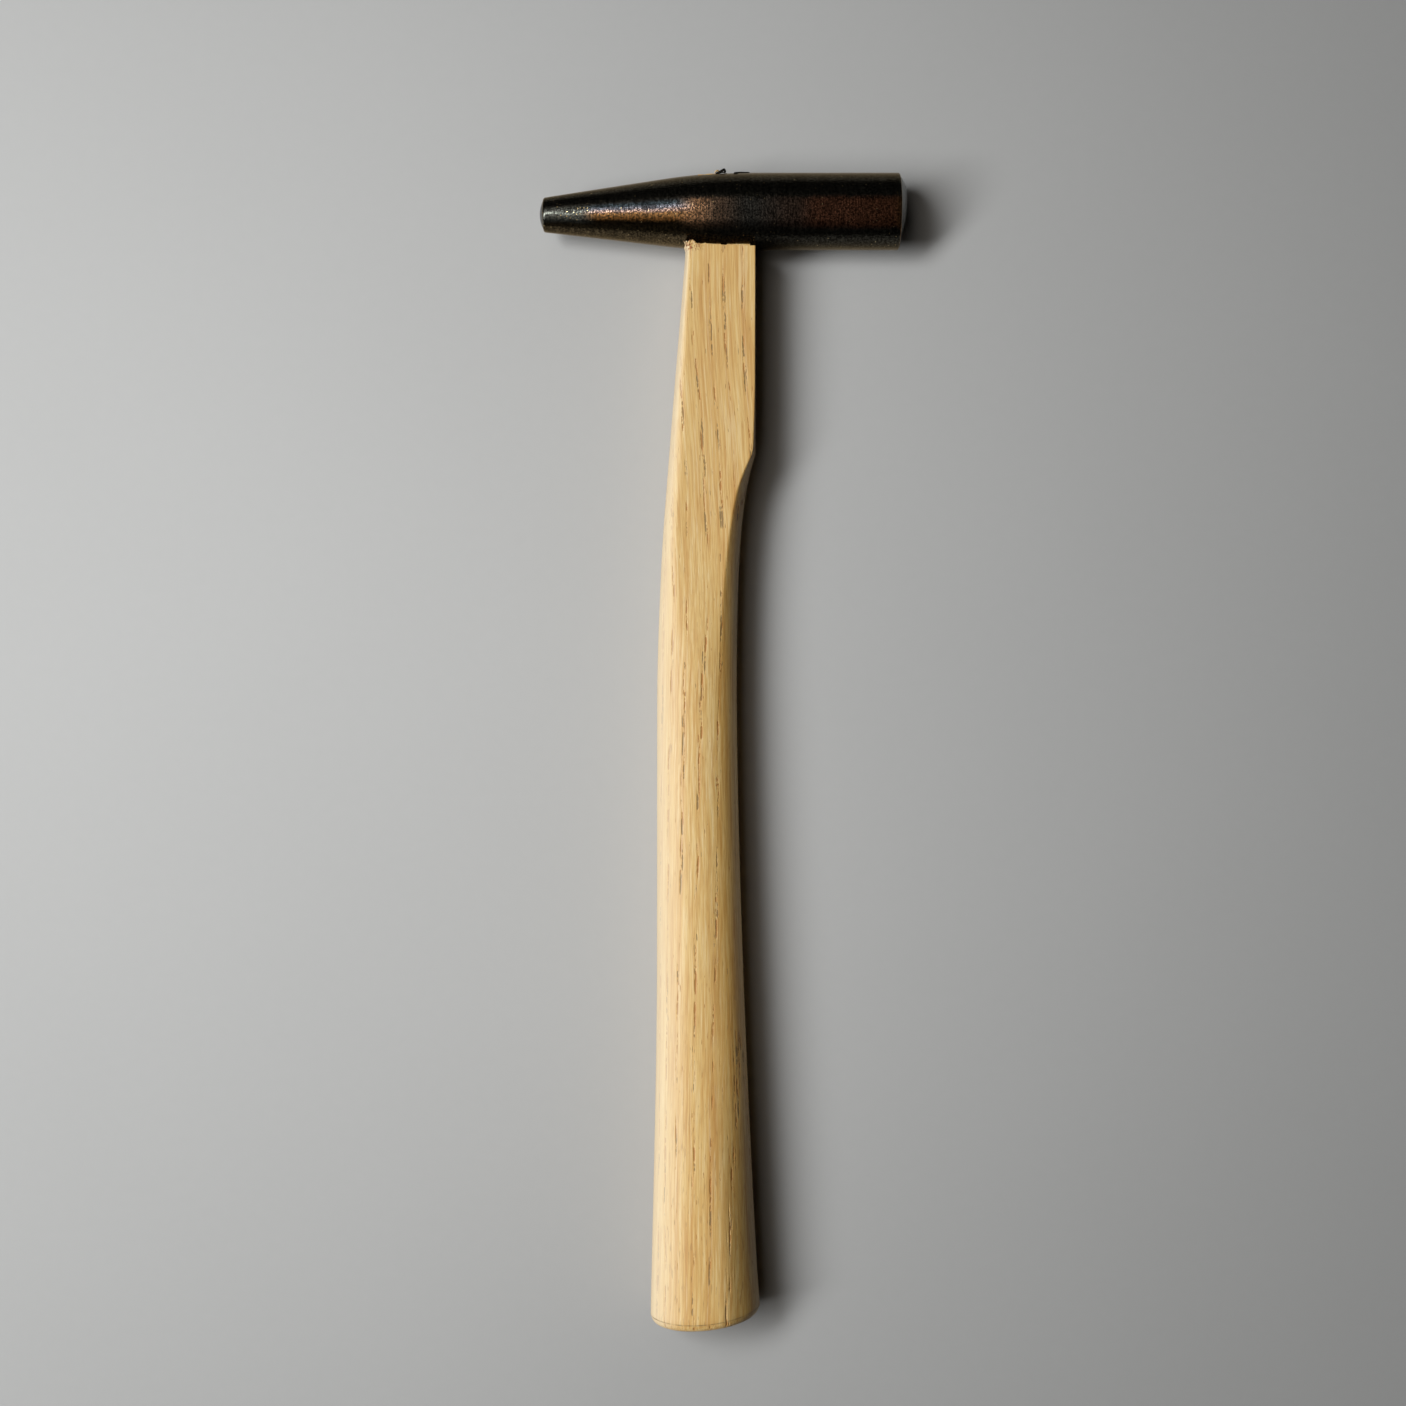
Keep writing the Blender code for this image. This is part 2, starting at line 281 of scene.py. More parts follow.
def along(stations, distances):
    """Values at the distances, on a smooth curve through the stations that never overshoots them."""
    at, values = np.array(stations, float).T
    rises = np.diff(values) / np.diff(at)
    slopes = np.zeros(len(at))
    slopes[0], slopes[-1] = rises[0], rises[-1]
    for i, (before, after) in enumerate(zip(rises, rises[1:]), 1):
        slopes[i] = 2 * before * after / (before + after) if before * after > 0 else 0.0
    d = np.clip(distances, at[0], at[-1])
    i = np.clip(np.searchsorted(at, d, side="right") - 1, 0, len(at) - 2)
    gap = at[i + 1] - at[i]
    t = (d - at[i]) / gap
    rise = (values[i + 1] - values[i]) * eased(t)
    return values[i] + rise + gap * t * (1 - t) * (slopes[i] * (1 - t) - slopes[i + 1] * t)


# Node helpers. They serve shader trees and geometry trees alike.


def add(tree, kind, inputs=None, **settings):
    """Adds a node, with its settings, and its inputs as values or as links."""
    made = tree.nodes.new(kind)
    for key, value in settings.items():
        setattr(made, key, value)
    for key, value in (inputs or {}).items():
        if isinstance(value, bpy.types.NodeSocket):
            tree.links.new(value, made.inputs[key])
        else:
            made.inputs[key].default_value = value
    return made


def maths(tree, operation, *values):
    return add(tree, "ShaderNodeMath", dict(enumerate(values)), operation=operation).outputs[0]


def product(tree, *factors):
    result = factors[0]
    for factor in factors[1:]:
        result = maths(tree, "MULTIPLY", result, factor)
    return result


def stretched(tree, position, scale):
    """The position with each axis scaled on its own."""
    inputs = {0: position, 1: scale}
    return add(tree, "ShaderNodeVectorMath", inputs, operation="MULTIPLY").outputs[0]


def noise_of(tree, position, scale, detail=2.0, roughness=0.5):
    inputs = {"Vector": position, "Scale": scale, "Detail": detail, "Roughness": roughness}
    return add(tree, "ShaderNodeTexNoise", inputs).outputs[0]


def ranged(tree, value, low, high, to_low=0.0, to_high=1.0):
    """Eases the value from one range to another, held at both ends."""
    inputs = {"Value": value, "From Min": low, "From Max": high, "To Min": to_low, "To Max": to_high}
    return add(tree, "ShaderNodeMapRange", inputs, interpolation_type="SMOOTHSTEP").outputs[0]


def ranged_line(tree, value, low, high):
    """0 to 1 over a range, in a straight line and held at both ends."""
    inputs = {"Value": value, "From Min": low, "From Max": high}
    return add(tree, "ShaderNodeMapRange", inputs).outputs[0]


def mixed(tree, share, first, second, blend="MIX"):
    """Mixes two colours, each a socket or an (r, g, b)."""
    made = tree.nodes.new("ShaderNodeMix")
    made.data_type = "RGBA"
    made.blend_type = blend
    made.clamp_factor = True
    for socket, value in ((made.inputs[0], share), (made.inputs[6], first), (made.inputs[7], second)):
        if isinstance(value, bpy.types.NodeSocket):
            tree.links.new(value, socket)
        else:
            socket.default_value = (*value, 1) if isinstance(value, tuple) else value
    return made.outputs[2]


def ramp(tree, value, stops):
    """A colour that eases through (place, (r, g, b)) stops."""
    made = add(tree, "ShaderNodeValToRGB", {0: value})
    made.color_ramp.interpolation = "EASE"
    elements = made.color_ramp.elements
    while len(elements) < len(stops):
        elements.new(0.5)
    for element, (place, colour) in zip(elements, stops):
        element.position = place
        element.color = (*colour, 1)
    return made.outputs[0]


def new_material(name):
    """A node material with its tree and its Principled surface."""
    material = bpy.data.materials.new(name)
    material.use_nodes = True
    tree = material.node_tree
    return material, tree, tree.nodes["Principled BSDF"]


def bumped(tree, height, distance, strength=1.0, under=None):
    inputs = {"Height": height, "Distance": distance, "Strength": strength}
    if under:
        inputs["Normal"] = under
    return add(tree, "ShaderNodeBump", inputs).outputs[0]


def millimetres(tree, position):
    """The position in millimetres about the pivot."""
    inputs = {0: position, 1: tuple(PIVOT)}
    moved = add(tree, "ShaderNodeVectorMath", inputs, operation="SUBTRACT").outputs[0]
    return stretched(tree, moved, (1 / MM,) * 3)


def facing(tree):
    """X, y and z of the surface's normal."""
    return split(tree, add(tree, "ShaderNodeNewGeometry").outputs["Normal"])


def split(tree, vector):
    return add(tree, "ShaderNodeSeparateXYZ", {0: vector}).outputs


def joined(tree, x, y, z):
    return add(tree, "ShaderNodeCombineXYZ", {0: x, 1: y, 2: z}).outputs[0]


# Oak


def along_grain(tree, position):
    """Wood coordinates: across the grain, along it and through the thickness, with a slow wander."""
    place = millimetres(tree, position)
    x, y, z = split(tree, place)
    wander = noise_of(tree, stretched(tree, place, (0.05, 0.03, 0.0)), 1.0)
    shift = ranged(tree, y, GRAIN_SHIFT_END, GRAIN_SHIFT_TOP, 0.0, GRAIN_SHIFT)
    across = maths(tree, "ADD", maths(tree, "ADD", x, shift), product(tree, wander, GRAIN_WANDER))
    return joined(tree, across, y, z)


def ring_phase(tree, grain):
    """0 to 1 through each year's ring, with the porous early wood at both ends of that range."""
    across, _, through = split(tree, grain)
    drift = product(tree, noise_of(tree, stretched(tree, grain, (0.16, 0.010, 0.16)), 1.0), RING_DRIFT)
    radial = maths(tree, "ADD", maths(tree, "MULTIPLY_ADD", through, RING_TILT, across), drift)
    return maths(tree, "FRACT", maths(tree, "DIVIDE", radial, RING_WIDTH))


def early_wood(tree, phase, reach):
    """1 in the middle of the early wood, and 0 from the reach (a share of the ring) outwards."""
    return ranged(tree, maths(tree, "PINGPONG", phase, 0.5), reach, reach * 0.3)


def pores(tree, grain, phase):
    """Long cells in chains in the early wood: 1 inside a pore and 0 outside, and a chance per pore."""
    cells = stretched(tree, grain, (1 / PORE_ACROSS, 1 / PORE_ALONG, 1 / PORE_ACROSS))
    voronoi = add(tree, "ShaderNodeTexVoronoi", {"Vector": cells, "Scale": 1.0, "Randomness": 1.0})
    chance, other, _ = split(tree, voronoi.outputs["Color"])
    ragged = noise_of(tree, stretched(tree, grain, (2.2, 0.9, 2.2)), 1.0, detail=2.0)
    most = maths(tree, "MULTIPLY_ADD", early_wood(tree, phase, 0.15), 0.46, 0.12)
    lively = ranged(tree, chance, 0.1, 0.6, 0.4, 1.1)
    size = product(tree, most, lively, ranged(tree, ragged, 0.34, 0.60, 0.45, 1.2))
    inner = product(tree, size, 0.55)
    return ranged(tree, voronoi.outputs["Distance"], size, inner), other


def oak_relief():
    """Geometry nodes that sink the open pores into the surface, except along the shoulder's edge."""
    tree = bpy.data.node_groups.new("open pores", "GeometryNodeTree")
    tree.interface.new_socket("Geometry", in_out="INPUT", socket_type="NodeSocketGeometry")
    tree.interface.new_socket("Geometry", in_out="OUTPUT", socket_type="NodeSocketGeometry")
    source = tree.nodes.new("NodeGroupInput")
    grain = along_grain(tree, tree.nodes.new("GeometryNodeInputPosition").outputs[0])
    deepest = ranged(tree, split(tree, grain)[1], -SHOULDER - 0.3, -SHOULDER - 1.8, 0.0, -PORE_DEPTH)
    depth = product(tree, pores(tree, grain, ring_phase(tree, grain))[0], deepest)
    normal = tree.nodes.new("GeometryNodeInputNormal").outputs[0]
    offset = add(tree, "ShaderNodeVectorMath", {0: normal, "Scale": depth}, operation="SCALE").outputs[0]
    placed = add(tree, "GeometryNodeSetPosition", {"Geometry": source.outputs[0], "Offset": offset})
    result = tree.nodes.new("NodeGroupOutput")
    tree.links.new(placed.outputs[0], result.inputs[0])
    return tree


def torn_corner_mask(tree, x, y):
    """1 in the crumbled wood at the shoulder's corner on the peen's side."""
    beside = ranged(tree, x, -3.4, -5.6)
    return product(tree, beside, ranged(tree, y, -SHOULDER - 1.3, -SHOULDER - 0.4))


def plain_oak(tree, grain, phase, fibres, y):
    """Colour of the wood between the pores: broad bands, streaks, grain lines, fibres and flecks."""
    broad = noise_of(tree, stretched(tree, grain, (0.30, 0.012, 0.30)), 1.0, detail=2.0)
    streaks = noise_of(tree, stretched(tree, grain, (2.1, 0.045, 2.1)), 1.0, detail=3.0, roughness=0.7)
    lines = noise_of(tree, stretched(tree, grain, (2.7, 0.06, 2.7)), 1.0, detail=2.0, roughness=0.7)
    flecks = noise_of(tree, stretched(tree, grain, (2.4, 0.30, 2.4)), 1.0, detail=2.0, roughness=0.5)
    tone = maths(tree, "MULTIPLY_ADD", streaks, 0.85, product(tree, broad, 0.45))
    tone = maths(tree, "MULTIPLY_ADD", early_wood(tree, phase, 0.3), -0.06, tone)
    tones = (
        (0.0, (0.60, 0.32, 0.095)),
        (0.32, (0.71, 0.44, 0.15)),
        (0.6, (0.77, 0.52, 0.20)),
        (1.0, (0.86, 0.64, 0.32)),
    )
    colour = ramp(tree, ranged_line(tree, tone, 0.42, 0.88), tones)
    dark_line = product(tree, ranged(tree, lines, 0.54, 0.62), 0.52)
    colour = mixed(tree, dark_line, colour, (0.56, 0.29, 0.08))
    pale_line = product(tree, ranged(tree, lines, 0.46, 0.38), 0.42)
    colour = mixed(tree, pale_line, colour, (0.88, 0.69, 0.38))
    dark_fibres = product(tree, ranged(tree, fibres, 0.50, 0.72), 0.30)
    colour = mixed(tree, dark_fibres, colour, (0.50, 0.28, 0.10))
    near_butt = ranged(tree, y, -150.0, -205.0, 0.15, 0.5)
    fleck = product(tree, ranged(tree, flecks, 0.60, 0.70), near_butt)
    return mixed(tree, fleck, colour, (0.40, 0.22, 0.08))


def painted_flank_light(tree, colour, y):
    """Painted light on the flanks: a painted sheen makes the wood paler towards the peen's side, which
    faces the key, and painted shade makes it deeper towards the face's side, deepest by the butt and
    along the neck.
    """
    sideways = facing(tree)[0]
    # Painted sheen: wood that faces the key, on the peen's side, is paler.
    pale = product(tree, ranged(tree, sideways, -0.08, -0.90), 0.6)
    colour = mixed(tree, pale, colour, (0.90, 0.77, 0.57))
    # Painted shade: wood that faces away from the key, on the face's side, is deeper.
    painted_face_side_shade = ranged(tree, sideways, 0.15, 0.60)
    colour = mixed(tree, painted_face_side_shade, colour, (0.98, 0.90, 0.70), blend="MULTIPLY")
    # Painted shade, deeper still on the face's side by the butt.
    painted_butt_flank_shade = product(tree, ranged(tree, sideways, 0.12, 0.45), ranged(tree, y, -160.0, -205.0))
    colour = mixed(tree, painted_butt_flank_shade, colour, (0.58, 0.58, 0.56), blend="MULTIPLY")
    # Painted shade on the face's side, from the scoop up to the shoulder, where the flank faces straight
    # away from the key.
    painted_shade_by_neck = product(tree, ranged(tree, sideways, 0.75, 0.97), ranged(tree, y, -105.0, -75.0))
    return mixed(tree, painted_shade_by_neck, colour, (0.50, 0.48, 0.46), blend="MULTIPLY")


def butt_shade_and_nicks(tree, x, y):
    """A broken line of painted shade along the arris of the butt, with darker nicks in it. It follows the
    slope and the dome of the end.
    """
    from_middle = maths(tree, "MULTIPLY_ADD", x, 1 / BUTT_HALF, -BUTT_MIDDLE / BUTT_HALF)
    dome = product(tree, maths(tree, "POWER", maths(tree, "ABSOLUTE", from_middle), 2.0), BUTT_DOME)
    corner_lift = maths(tree, "ADD", dome, -BUTT_SLOPE * BUTT_CORNER)
    lift = maths(tree, "MULTIPLY_ADD", x, BUTT_SLOPE, corner_lift)
    above = maths(tree, "SUBTRACT", maths(tree, "SUBTRACT", y, lift), BUTT_SHADE_LINE)
    line = ranged(tree, maths(tree, "ABSOLUTE", above), BUTT_SHADE_HALF, 0.0)
    gaps = noise_of(tree, joined(tree, x, 0.0, 0.0), 0.55, detail=3.0)
    return product(tree, line, ranged(tree, gaps, 0.35, 0.62, 0.15, 0.75))


def oak_material():
    material, tree, surface = new_material("raw oak")
    position = add(tree, "ShaderNodeTexCoord").outputs["Object"]
    grain = along_grain(tree, position)
    phase = ring_phase(tree, grain)
    pore, kind = pores(tree, grain, phase)
    x, y, _ = split(tree, millimetres(tree, position))
    fibres = noise_of(tree, stretched(tree, grain, (6.5, 0.28, 6.5)), 1.0, detail=2.0, roughness=0.6)
    crumbs = noise_of(tree, millimetres(tree, position), 2.6, detail=2.0)
    torn_here = torn_corner_mask(tree, x, y)

    colour = plain_oak(tree, grain, phase, fibres, y)
    in_pore = mixed(tree, ranged(tree, kind, 0.50, 0.70), (0.47, 0.20, 0.047), (0.30, 0.185, 0.072))
    colour = mixed(tree, product(tree, pore, 0.90), colour, in_pore)
    # Painted sheen and painted shade on the flanks.
    colour = painted_flank_light(tree, colour, y)
    rusty = product(tree, ranged(tree, crumbs, 0.50, 0.60), torn_here)
    colour = mixed(tree, rusty, colour, (0.42, 0.15, 0.06))
    # Painted shade along the butt's arris, with nicks.
    colour = mixed(tree, butt_shade_and_nicks(tree, x, y), colour, (0.20, 0.12, 0.05))
    tree.links.new(colour, surface.inputs["Base Color"])

    rough = maths(tree, "MULTIPLY_ADD", fibres, 0.14, 0.42)
    tree.links.new(maths(tree, "MULTIPLY_ADD", pore, 0.15, rough), surface.inputs["Roughness"])
    surface.inputs["Specular IOR Level"].default_value = 0.42
    surface.inputs["Sheen Weight"].default_value = 0.15
    surface.inputs["Sheen Roughness"].default_value = 0.4
    surface.inputs["Sheen Tint"].default_value = (1.0, 0.93, 0.82, 1)
    fine = bumped(tree, fibres, FIBRE_BUMP, 0.8)
    crumbled = bumped(tree, product(tree, crumbs, torn_here), CRUMB_BUMP, 0.8, fine)
    sunken = bumped(tree, product(tree, pore, -1.0), PORE_BUMP, 0.7, crumbled)
    tree.links.new(sunken, surface.inputs["Normal"])
    return material


# Handle


def face_side_edge(distances):
    """X of the handle's edge on the face's side: neck, notch, waist, and the flare of the butt."""
    scoop = (NECK_EDGE - WAIST_EDGE) * np.exp(-np.maximum(distances - NOTCH, 0) / NOTCH_RUNOUT)
    flare = BUTT_FLARE * (np.maximum(distances - FLARE_START, 0) / (BUTT - FLARE_START)) ** FLARE_POWER
    return WAIST_EDGE + scoop + flare


def bulging_side(edge, bulge, half, outward):
    """For each station, an arc from the upper arris over the edge to the lower arris."""
    radius = (half**2 + bulge**2) / (2 * bulge)
    angle = np.arcsin(half / radius)[:, None] * np.linspace(1, -1, SIDE_STEPS + 1)
    x = edge[:, None] - outward * radius[:, None] * (1 - np.cos(angle))
    return np.stack([x, radius[:, None] * np.sin(angle)], axis=2)


def cheek(start, end):
    """Points across a flat cheek, between two arrises."""
    shares = (np.arange(1, CHEEK_STEPS) / CHEEK_STEPS)[None, :, None]
    return start[:, None] + (end - start)[:, None] * shares


def handle_sections(distances):
    """(station, point, x and z) of the handle's sections about its own middle."""
    left = along(PEEN_SIDE_EDGE, distances)
    right = face_side_edge(distances)
    half = along(THICKNESS, distances) / 2
    face_side = bulging_side(right, along(FACE_SIDE_BULGE, distances), half, 1)
    peen_side = bulging_side(left, along(PEEN_SIDE_BULGE, distances), half, -1)
    back = cheek(face_side[:, -1], peen_side[:, -1])
    front = cheek(peen_side[:, 0], face_side[:, 0])
    rings = np.concatenate([face_side, back, peen_side[:, ::-1], front], axis=1)
    rings = softened(rings, distances)
    middle, half_width = ((left + right) / 2)[:, None], ((right - left) / 2)[:, None]
    u, v = (rings[..., 0] - middle) / half_width, rings[..., 1] / half[:, None]
    reach = (np.abs(u) ** OVAL_POWER + np.abs(v) ** OVAL_POWER) ** (1 / OVAL_POWER)
    oval = eased((distances - FLAT_END) / (OVAL_START - FLAT_END))[:, None]
    scale = 1 + (1 / reach - 1) * oval
    return np.stack([middle + u * half_width * scale, rings[..., 1] * scale], axis=2)


def softened(rings, distances):
    """Rounds the arrises: the face's side stays crisp, and the peen's side is rounder further down."""
    around = rings.shape[1]
    index = np.arange(around)
    further = 0.15 + 0.85 * eased((distances - SHOULDER) / ARRIS_FADE)
    face_side = (0, SIDE_STEPS)
    peen_side = (SIDE_STEPS + CHEEK_STEPS, around - CHEEK_STEPS)
    for arrises, reach, passes in ((face_side, 4, 4), (peen_side, 26, 80)):
        weight = np.zeros(around)
        for arris in arrises:
            gap = np.abs((index - arris + around // 2) % around - around // 2)
            weight = np.maximum(weight, np.clip(1 - gap / reach, 0, 1))
        for _ in range(passes):
            average = (np.roll(rings, 1, axis=1) + np.roll(rings, -1, axis=1)) / 2
            rings = rings + (average - rings) * (further[:, None] * weight[None, :])[..., None]
    return rings


def wobble(points, size, seed):
    """Smooth random offsets for points in millimetres."""
    offset = Vector((seed * 7.3, seed * 3.1, seed * 5.7))
    return np.array([noise.noise(Vector(p) * size + offset) for p in points])


def sloped_end(distances, x):
    """Y of points, with the shoulder's slope and the butt's slope and dome worked in near each end."""
    near_shoulder = eased(1 - (distances - SHOULDER) / SLOPE_REACH)
    near_butt = eased(1 - (BUTT - distances) / SLOPE_REACH)
    slope = near_shoulder * SHOULDER_SLOPE * (NECK_EDGE - x)
    dome = BUTT_DOME * ((x - BUTT_MIDDLE) / BUTT_HALF) ** 2
    slope += near_butt * (BUTT_SLOPE * (x - BUTT_CORNER) + dome)
    return slope - distances


def ring_middle(ring):
    return np.array([(ring[:, 0].max() + ring[:, 0].min()) / 2, 0])


def drawn_in(ring, inset):
    """The ring with each point moved towards its middle by the inset."""
    middle = ring_middle(ring)
    reach = np.linalg.norm(ring - middle, axis=1, keepdims=True)
    return middle + (ring - middle) * (1 - inset / reach)


def scaled_ring(ring, share):
    """The ring, shrunk about its middle."""
    middle = ring_middle(ring)
    return middle + (ring - middle) * share


def torn(points, distances):
    """Raises and crumbles the shoulder's corner on the peen's side, and lifts a splinter beside it."""
    x, z = points[..., 0], points[..., 2]
    near = eased(1 - (distances - SHOULDER) / TORN_DEPTH)
    corner = near * eased((TORN_EDGE - x) / TORN_RUN) * eased((z + 1.0) / 3.5)
    flat = points.reshape(-1, 3)
    rough = wobble(flat, 1.3, 3).reshape(x.shape)
    fine = wobble(flat, 3.1, 5).reshape(x.shape)
    sideways = wobble(flat, 1.7, 9).reshape(x.shape)
    points[..., 1] += corner * (TORN_LIFT + 0.55 * rough + 0.35 * fine)
    points[..., 0] += corner * (-0.28 + 0.45 * sideways)
    points[..., 2] += corner * (0.10 + 0.40 * fine)
    lifted = near * eased(1 - np.abs(x - LIFTED_AT) / LIFTED_HALF) * eased((z - 2.0) / 2.0)
    points[..., 1] += lifted * LIFTED_BY
    points[..., 1] += near * eased((z - 2.0) / 3.0) * 0.06 * fine
    return points


def handle_rings():
    """Rings from the middle of the butt's end, up the grip and neck, to the shoulder's middle."""
    grip_end = BUTT - BUTT_ROUNDING
    end_section = handle_sections(np.array([grip_end]))[0]
    distances, sections = [], []
    end_face = drawn_in(end_section, BUTT_ROUNDING)
    for share in np.linspace(0.08, 0.92, 14):
        distances.append(BUTT)
        sections.append(scaled_ring(end_face, share))
    for angle in np.linspace(0, math.pi / 2, 9)[:-1]:
        inset = BUTT_ROUNDING * (1 - math.sin(angle)) * 0.92 + BUTT_ARRIS
        distances.append(grip_end + BUTT_ROUNDING * math.cos(angle))
        sections.append(drawn_in(end_section, inset))
    fine_start = SHOULDER + FINE_REACH
    grip = np.linspace(grip_end, fine_start, round((grip_end - fine_start) / STATION_GAP) + 1)
    neck_top = np.linspace(fine_start, SHOULDER, round(FINE_REACH / FINE_GAP) + 1)[1:]
    stations = np.concatenate([grip, neck_top])
    distances.extend(stations)
    sections.extend(handle_sections(stations))
    shoulder_section = sections[-1]
    for share in (0.985, 0.96, 0.93, 0.89, 0.84, 0.78, 0.7, 0.6, 0.5, 0.4, 0.3, 0.2, 0.1):
        distances.append(SHOULDER)
        sections.append(scaled_ring(shoulder_section, share))
    distances = np.array(distances)[:, None]
    sections = np.array(sections)
    y = sloped_end(distances, sections[..., 0])
    height = BUTT_HEIGHT * eased((distances - NOTCH) / (BUTT - BUTT_ROUNDING - NOTCH))
    return torn(np.stack([sections[..., 0], y, sections[..., 1] + height], axis=2), distances)


def make_handle(oak):
    rings = handle_rings()
    first, last = rings[0].mean(axis=0), rings[-1].mean(axis=0)
    handle = skin("handle_oak", rings, first, last, [oak])
    relief = handle.modifiers.new("open pores", "NODES")
    relief.node_group = oak_relief()
    stands_for(handle, "handle")


# Head


def side_radius(x):
    """Radius of the head's side: a straight cone, then a parabola that ends flush in the barrel."""
    if x < BARREL_START - TAPER_RUNOUT:
        return PEEN_RADIUS + TAPER * (x - PEEN_RIM)
    left = max(BARREL_START - x, 0)
    return BARREL_RADIUS - TAPER * left**2 / (2 * TAPER_RUNOUT)


def crown(tip, rim, rim_radius, steps):
    """(x, radius) points of a spherical end, from just off its tip to its rim."""
    height = abs(rim - tip)
    sphere = (rim_radius**2 + height**2) / (2 * height)
    half_angle = math.asin(rim_radius / sphere)
    inward = math.copysign(1, rim - tip)
    angles = [half_angle * (i + 1) / steps for i in range(steps)]
    return [(tip + inward * sphere * (1 - math.cos(a)), sphere * math.sin(a)) for a in angles]


def bend(start, corner, end, steps):
    """Points between start and end on a curve that turns at the corner."""
    points = []
    for i in range(1, steps):
        t = i / steps
        weights = ((1 - t) ** 2, 2 * t * (1 - t), t * t)
        points.append(tuple(sum(w * p[k] for w, p in zip(weights, (start, corner, end))) for k in (0, 1)))
    return points


def rounded_end(tip, rim, inward, rounding):
    """Profile of one end of the head: crown, then a rounded rim, up to the side."""
    radius = side_radius(rim)
    side_start = rim + inward * rounding
    face = crown(tip, rim, radius - rounding, 24)
    end = (side_start, side_radius(side_start))
    return face + bend(face[-1], (rim, radius), end, 6) + [end]


def head_profile():
    peen_end = rounded_end(-HEAD_HALF, PEEN_RIM, 1, PEEN_ROUNDING)
    face_end = rounded_end(HEAD_HALF, FACE_RIM, -1, FACE_ROUNDING)
    side = [(x, side_radius(x)) for x in np.linspace(peen_end[-1][0], face_end[-1][0], 120)[1:-1]]
    return peen_end + side + face_end[::-1]


def tilt_at(x, y):
    """How far the lean of the striking face moves a point along the head."""
    return FACE_TILT * y * eased((x - FACE_RIM) / FACE_TILT_REACH)


def droop_at(x):
    """How far the head's axis sags towards the handle, from DROOP_START out to the peen."""
    share = (DROOP_START - x) / (DROOP_START + HEAD_HALF)
    return DROOP * np.maximum(share, 0.0) ** DROOP_POWER


def eye_cutter():
    """A rectangular punch with rounded corners that flares a little where it leaves the head."""
    straight = BARREL_RADIUS - EYE_FLARE_DEPTH
    rings = []
    for y, flare in ((-EYE_REACH, EYE_FLARE), (-straight, 0.0), (straight, 0.0), (EYE_REACH, EYE_FLARE)):
        half_x = EYE_LENGTH / 2 + flare - EYE_CORNER
        half_z = EYE_WIDTH / 2 + flare - EYE_CORNER
        ring = []
        for quarter, (sx, sz) in enumerate(((1, 1), (-1, 1), (-1, -1), (1, -1))):
            for step in range(7):
                angle = (quarter + step / 6) * math.pi / 2
                x = EYE_CENTRE + sx * half_x + EYE_CORNER * math.cos(angle)
                z = sz * half_z + EYE_CORNER * math.sin(angle)
                ring.append((x, y, z))
        rings.append(ring)
    rings = np.array(rings)
    return skin("eye_cutter", rings, rings[0].mean(axis=0), rings[-1].mean(axis=0))


def applied(obj):
    """Replaces the object's mesh by what its modifiers make of it."""
    graph = bpy.context.evaluated_depsgraph_get()
    mesh = bpy.data.meshes.new_from_object(obj.evaluated_get(graph), depsgraph=graph)
    obj.modifiers.clear()
    obj.data = mesh
    return mesh


def steel_colour(tree, x, around, patches):
    """Heat-tinted oxide, laid out by the normal's y: tints in the band where the lights are reflected,
    painted shade on both sides, and a strip of painted shade along the top of the cone.

    Around is the y of the surface's normal.
    """
    turned = maths(tree, "ADD", around, maths(tree, "MULTIPLY_ADD", patches, 0.20, -0.10))
    # The tints follow the normal's y, so they sit where the lights are reflected.
    cone = ramp(tree, ranged_line(tree, turned, -CONE_SPAN, CONE_SPAN), CONE_TINTS_AND_SHADE)
    along_head = ramp(tree, ranged_line(tree, x, -HEAD_HALF, HEAD_HALF), HEAD_TINTS)
    on_cone = product(tree, ranged(tree, x, -28.5, -24.5), ranged(tree, x, -4.5, -10.0))
    colour = mixed(tree, on_cone, along_head, cone)
    # Painted shade: a darker strip along the top of the cone dims the bright reflection there.
    reflection_ridge = ranged(tree, maths(tree, "ABSOLUTE", maths(tree, "ADD", turned, 0.01)), 0.17, 0.05)
    painted_ridge_shade = product(tree, reflection_ridge, ranged(tree, x, -6.0, -14.0), PAINTED_RIDGE_SHADE)
    colour = mixed(tree, painted_ridge_shade, colour, (0.0, 0.0, 0.0))
    # Painted shade: both sides of the reflected band are dark, browner on the handle's side towards the
    # peen.
    black = ranged(tree, maths(tree, "ABSOLUTE", maths(tree, "ADD", turned, 0.22)), 0.28, 0.46)
    brown = product(tree, ranged(tree, x, 2.0, -12.0), ranged(tree, around, -0.35, -0.6))
    dark = mixed(tree, brown, (0.034, 0.032, 0.026), (0.070, 0.052, 0.029))
    return mixed(tree, black, colour, dark)


def bare_specks(tree, position, x):
    """1 in small spots where the oxide has gone, which are more frequent near the peen."""
    specks = add(tree, "ShaderNodeTexVoronoi", {"Vector": position, "Scale": 1.5, "Randomness": 1.0})
    chance = split(tree, specks.outputs["Color"])[0]
    picked = maths(tree, "GREATER_THAN", chance, ranged(tree, x, -24.0, -31.0, 0.87, 0.60))
    return product(tree, ranged(tree, specks.outputs["Distance"], 0.20, 0.10), picked)


